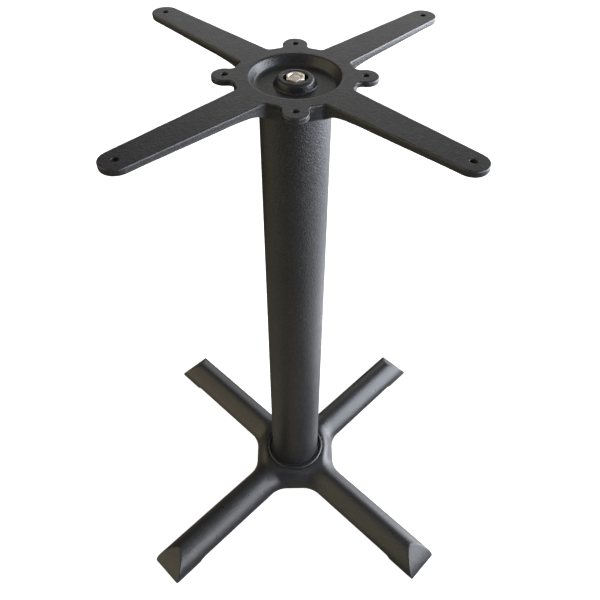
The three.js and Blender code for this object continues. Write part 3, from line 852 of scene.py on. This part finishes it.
def make_floor():
    """A wide pale floor that fills the view. It glows evenly, and neither lights nor shades the part."""
    bpy.ops.mesh.primitive_circle_add(vertices=96, radius=14, fill_type="NGON")
    floor = bpy.context.object
    floor.name = "studio_floor"
    n = Nodes("pale_floor")
    n.shader.inputs["Base Color"].default_value = (0.78, 0.78, 0.78, 1)
    n.shader.inputs["Roughness"].default_value = 1.0
    n.shader.inputs["Specular IOR Level"].default_value = 0.0
    n.shader.inputs["Emission Color"].default_value = (1, 1, 1, 1)
    n.shader.inputs["Emission Strength"].default_value = 0.9
    floor.data.materials.append(n.material)
    floor.visible_glossy = False
    floor.visible_diffuse = False
    floor.visible_shadow = False


def toward(azimuth, elevation):
    """A direction, with azimuth in degrees from +Y towards +X."""
    a, e = math.radians(azimuth), math.radians(elevation)
    return Vector((math.sin(a) * math.cos(e), math.cos(a) * math.cos(e), math.sin(e)))


def make_world():
    """Dim surroundings with broad soft patches of light. Each patch is full within its inner angle and
    gone beyond its outer one."""
    world = bpy.data.worlds.new("studio")
    bpy.context.scene.world = world
    world.use_nodes = True
    tree = world.node_tree
    here = tree.nodes.new("ShaderNodeTexCoord").outputs["Generated"]
    total = None

    def patch(name, azimuth, elevation, inner, outer, color):
        nonlocal total
        alike = tree.nodes.new("ShaderNodeVectorMath")
        alike.operation = "DOT_PRODUCT"
        tree.links.new(here, alike.inputs[0])
        alike.inputs[1].default_value = toward(azimuth, elevation)
        fade = tree.nodes.new("ShaderNodeMapRange")
        fade.interpolation_type = "SMOOTHSTEP"
        tree.links.new(alike.outputs["Value"], fade.inputs["Value"])
        fade.inputs["From Min"].default_value = math.cos(math.radians(outer))
        fade.inputs["From Max"].default_value = math.cos(math.radians(inner))
        glow = tree.nodes.new("ShaderNodeVectorMath")
        glow.operation = "SCALE"
        glow.name = name
        glow.inputs[0].default_value = color
        tree.links.new(fade.outputs["Result"], glow.inputs["Scale"])
        if total is None:
            total = glow.outputs["Vector"]
            return
        sum_so_far = tree.nodes.new("ShaderNodeVectorMath")
        sum_so_far.operation = "ADD"
        tree.links.new(total, sum_so_far.inputs[0])
        tree.links.new(glow.outputs["Vector"], sum_so_far.inputs[1])
        total = sum_so_far.outputs["Vector"]

    # Name, azimuth, elevation, inner and outer angle, color
    patch("overhead", 0, 90, 25, 75, (0.24, 0.24, 0.22))
    patch("far_side", 4, 8, 10, 34, (0.88, 0.88, 0.86))
    patch("beside_the_window", 56, 3, 14, 36, (4.6, 4.7, 5.0))
    patch("left_side", 262, 15, 15, 52, (1.25, 1.10, 0.78))
    patch("floor_on_the_right", 52, -36, 12, 38, (1.00, 1.04, 1.12))
    patch("floor_in_front", 215, -50, 20, 60, (0.18, 0.17, 0.12))
    patch("near_side", 180, 20, 20, 60, (0.08, 0.09, 0.12))
    tree.links.new(total, tree.nodes["Background"].inputs["Color"])


def make_light(name, place, target, size, power, color):
    """A rectangular light. It isn't seen by the camera."""
    data = bpy.data.lights.new(name, "AREA")
    data.shape = "RECTANGLE"
    data.size, data.size_y = size
    data.energy = power
    data.color = color
    light = bpy.data.objects.new(name, data)
    light.location = place
    light.rotation_euler = (Vector(target) - Vector(place)).to_track_quat("-Z", "Y").to_euler()
    light.visible_camera = False
    bpy.context.scene.collection.objects.link(light)


def make_lights():
    """Two windows on the right, and the floor that they light round the foot."""
    make_light("window", (2.2, 0, 0.8), (0, 0, 0.5), (2.0, 2.1), 115, (0.86, 0.91, 1.0))
    make_light("second_window", (1.5, -1.5, 0.55), (0, 0, 0.5), (1.2, 1.1), 24, (0.95, 0.95, 1.0))
    make_light("lit_floor_right", (0.56, 0, 0.003), (0.56, 0, 1), (0.68, 0.8), 1.6, (0.98, 0.98, 1.0))
    make_light("lit_floor_left", (-0.35, 0, 0.003), (-0.35, 0, 1), (0.9, 0.9), 0.35, (1.0, 0.92, 0.70))


def make_camera():
    """44 degrees down, from the front, turned a little to the right and tilted. Angles are radians."""
    place = (-0.0021, -0.6101, 1.0383)
    yaw, pitch, roll = -0.0515, 0.7680, 0.0345
    level_ahead = Vector((-math.sin(yaw), math.cos(yaw), 0))
    ahead = math.cos(pitch) * level_ahead - math.sin(pitch) * Vector((0, 0, 1))
    level = Vector((math.cos(yaw), math.sin(yaw), 0))
    upright = level.cross(ahead)
    right = math.cos(roll) * level + math.sin(roll) * upright
    up = -math.sin(roll) * level + math.cos(roll) * upright
    data = bpy.data.cameras.new("camera")
    data.sensor_width = 36
    data.lens = 39.30
    data.shift_x = -0.0298
    data.shift_y = -0.0428
    camera = bpy.data.objects.new("camera", data)
    bpy.context.scene.collection.objects.link(camera)
    turn = Matrix((right, up, -ahead)).transposed().to_4x4()
    camera.matrix_world = Matrix.Translation(place) @ turn
    bpy.context.scene.camera = camera


def make_everything():
    casting = powder_coat("cast_iron_coat", 0.31, 520, 0.0003)
    tube = powder_coat("tube_coat", 0.39, 470, 0.0006)
    zinc = bright_zinc("zinc_plate")
    oxide = black_oxide("black_oxide")
    nylon = moulded_nylon("glide_nylon")
    make_foot(casting)
    make_seat_rim(casting)
    make_top_plate(casting)
    make_column(tube)
    make_tie_rod(zinc)
    make_nut("nut_above", "top_nut", zinc)
    make_nut("nut_below", "bottom_nut", zinc)
    make_washer("washer_above", "top_washer", WASHER_RADIUS, oxide)
    make_washer("washer_below", "bottom_washer", BIG_WASHER_RADIUS, zinc)
    make_spring_washer(oxide)
    make_glides(nylon, zinc)


bpy.context.scene.view_settings.view_transform = "Standard"
make_camera()
make_world()
make_lights()
make_floor()
make_everything()
